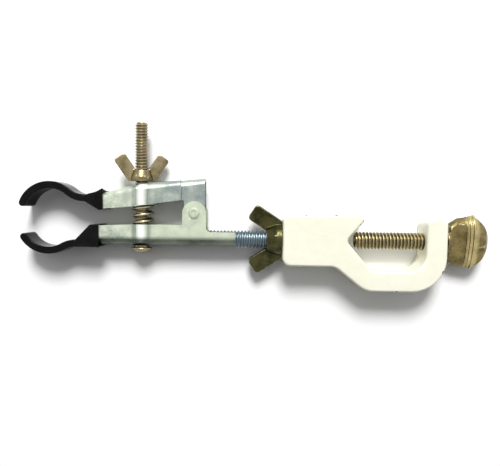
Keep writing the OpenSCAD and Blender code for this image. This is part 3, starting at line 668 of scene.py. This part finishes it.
def raiseCrease(piece, crease, faceZ):
    # a short fold in the near face
    start, end = (Vector(v) * mm for v in (crease["start"], crease["end"]))
    for vertex in piece.data.vertices:
        if vertex.co.z > faceZ - crease["deep"] * mm:
            spot = vertex.co.xy
            along = max(0, min(1, (spot - start).dot(end - start) / (end - start).length_squared))
            far = (spot - start.lerp(end, along)).length / (crease["wide"] * mm)
            vertex.co.z += crease["lift"] * mm * max(0, 1 - far)


def cutLoops(piece, axis, places):
    # extra edge loops square to an axis
    enterEdit(piece)
    for spot in places:
        bpy.ops.mesh.select_all(action="SELECT")
        bpy.ops.mesh.bisect(plane_co=Vector(axis) * spot * mm, plane_no=axis)
    leaveEdit()


def roundBulge(piece, bulge):
    # the pressed bulge beside the screw is a half tube, not a flat
    cutLoops(piece, (1, 0, 0), [bulge["x"] + bulge["half"] * share for share in bulge["cuts"]])
    for vertex in piece.data.vertices:
        across = abs(vertex.co.x / mm - bulge["x"]) / bulge["half"]
        out = (vertex.co.z - midZ) / mm
        if across <= bulge["edge"] and abs(out) > bulge["from"]:
            vertex.co.z -= math.copysign(bulge["deep"] * across ** 2 * mm, out)


def roundUnder(piece, under):
    # the folds along the back of the channel open into one round, away from the screw
    cutLoops(piece, (0, 1, 0), [under["back"] + under["wide"] * share for share in under["cuts"]])
    cutLoops(piece, (1, 0, 0), [under["keepX"] + side * (under["keepHalf"] + under["keepFade"] * share)
                                for side in (-1, 1) for share in under["keepCuts"]])
    for vertex in piece.data.vertices:
        height = vertex.co.y / mm - under["back"]
        out = (vertex.co.z - midZ) / mm
        clear = min(1, max(0, abs(vertex.co.x / mm - under["keepX"]) - under["keepHalf"]) / under["keepFade"])
        inset = {}
        for fold in ("tight", "wide"):
            lack = max(0, under[fold] - max(0, height))
            inset[fold] = under[fold] - math.sqrt(under[fold] ** 2 - lack ** 2)
        share = min(1, abs(out) / (under["half"] - under["tight"]))
        vertex.co.z -= math.copysign((inset["wide"] - inset["tight"]) * share * clear * mm, out)


def makeArm(nodeName, name, body, material, arm):
    piece = copyOfNode(nodeName, name)
    applyModifier(piece, "BEVEL", width=arm["bevel"] * mm, segments=arm["segments"],
                  limit_method="ANGLE", angle_limit=math.radians(arm["angle"]))
    roundBulge(piece, arm["bulge"])
    if "under" in arm:
        roundUnder(piece, arm["under"])
    finishPiece(piece, body, "zinc_sheet", material, nodeName, angle=40, flat=True)


makeBoss()
makeThumbScrew()
makeStemRod()
makeJawScrew()
makeLockNut()
makeJawNut()
makeSpring()
makeSleeve("upper_jaw_sleeve", "upperJawSleeve", "upper_jaw",
           {"voxel": 0.18, "passes": 14, "keep": 0.4, "side": 1,
            "flapLong": 3.5, "flapFrom": 13.5, "flapFade": 2.5, "flapLift": 0.9,
            "crease": {"start": (-99.3, 15.2), "end": (-96.5, 16.2), "wide": 0.8, "lift": 0.55, "deep": 0.4}})
makeSleeve("lower_jaw_sleeve", "lowerJawSleeve", "clamp",
           {"voxel": 0.18, "passes": 14, "keep": 0.4, "side": -1,
            "flapLong": 2, "flapFrom": 0, "flapFade": 2, "flapLift": 0.2})
armBulge = {"x": -82.6, "half": 2.6, "edge": 1.02, "from": 4.5, "deep": 0.6,
            "cuts": (-0.8, -0.55, -0.3, 0, 0.3, 0.55, 0.8)}
makeArm("lower_arm", "lowerArm", "clamp", zincPale,
        {"bevel": 0.18, "segments": 2, "angle": 32, "bulge": armBulge,
         "under": {"back": -2.6, "tight": 2.2, "wide": 3.9, "half": 4.3, "cuts": (0.6, 0.7, 0.8, 0.9, 1),
                   "keepX": -82.6, "keepHalf": 3, "keepFade": 2.5, "keepCuts": (0, 0.25, 0.5, 0.75, 1)}})
makeArm("upper_arm", "upperArm", "upper_jaw", zincBlue,
        {"bevel": 0.18, "segments": 2, "angle": 32, "bulge": armBulge})
nodes["pivot_rivet"].data.materials.clear()
nodes["pivot_rivet"].data.materials.append(zincPale)
print("pieces made")


def makeFloor():
    paper = {"size": 1.8, "x": -0.04, "drop": 0.0001, "colour": (1, 1, 1), "rough": 0.9, "specular": 0.1}
    dropSelection()
    bpy.ops.mesh.primitive_plane_add(size=paper["size"], location=(paper["x"], 0, cadBox[0].z - paper["drop"]))
    floor = bpy.context.active_object
    floor.name = "floor"
    finish = Finish("floorPaper")
    finish.set(Base_Color=(*paper["colour"], 1), Roughness=paper["rough"], Specular_IOR_Level=paper["specular"])
    floor.data.materials.append(finish.material)


def makeKey():
    lamp = {"place": (-0.02, 0.93, 0.88), "aim": (-0.04, 0, 0), "size": 0.5, "watts": 19.5}
    bpy.ops.object.light_add(type="AREA", location=lamp["place"])
    key = bpy.context.active_object
    key.data.shape = "DISK"
    key.data.size = lamp["size"]
    key.data.energy = lamp["watts"]
    key.rotation_euler = (Vector(lamp["aim"]) - key.location).to_track_quat("-Z", "Y").to_euler()


def makeSky():
    # white to look at and in the metal, and uneven where it lights the object
    look = {"acrossY": (-0.55, 0.1), "across": (0.03, 0.9),  # dark in front of the object, pale behind it
            "aboveZ": (0.80, 0.985), "above": (1, 0.55),  # dim straight above it
            "besideX": (0.45, 0.85), "beside": (1, 0.3),  # and to the left and the right
            "diffuse": (1, 0.8)}
    world = bpy.data.worlds.new("studioSky")
    bpy.context.scene.world = world
    world.use_nodes = True
    sky = Nodes(world.node_tree)
    rays = sky.nodes.new("ShaderNodeLightPath").outputs
    across = sky.ramp(sky.axis("Generated", "Y"), *look["acrossY"], *look["across"], course="SMOOTHSTEP")
    above = sky.ramp(sky.axis("Generated", "Z"), *look["aboveZ"], *look["above"], course="SMOOTHSTEP")
    aside = sky.calc("ABSOLUTE", sky.axis("Generated", "X"))
    beside = sky.ramp(aside, *look["besideX"], *look["beside"], course="SMOOTHSTEP")
    level = sky.calc("MULTIPLY", sky.calc("MULTIPLY", across, above), beside)
    level = sky.calc("MULTIPLY", level, sky.span(rays["Is Diffuse Ray"], *look["diffuse"]))
    white = rays["Is Camera Ray"]
    for kind in ("Is Glossy Ray", "Is Transmission Ray"):
        white = sky.calc("MAXIMUM", white, rays[kind])
    seen = sky.nodes.new("ShaderNodeMix")
    seen.inputs["B"].default_value = 1
    sky.links.new(white, seen.inputs["Factor"])
    sky.links.new(level, seen.inputs["A"])
    background = sky.nodes["Background"]
    background.inputs["Color"].default_value = (1, 1, 1, 1)
    sky.links.new(seen.outputs["Result"], background.inputs["Strength"])
    bpy.context.scene.view_settings.view_transform = "Standard"


def makeCamera():
    shot = {"place": (-42.72, 12.40, 177.97), "turn": (-3.38, 0.22, 0.76), "lens": 33.585, "sensor": 36, "near": 1}
    bpy.ops.object.camera_add(location=[v * mm for v in shot["place"]],
                              rotation=[math.radians(v) for v in shot["turn"]])
    camera = bpy.context.active_object
    camera.data.sensor_width = shot["sensor"]
    camera.data.lens = shot["lens"]
    camera.data.clip_start = shot["near"] * mm
    bpy.context.scene.camera = camera


makeFloor()
makeKey()
makeSky()
makeCamera()
print("studio and camera made")
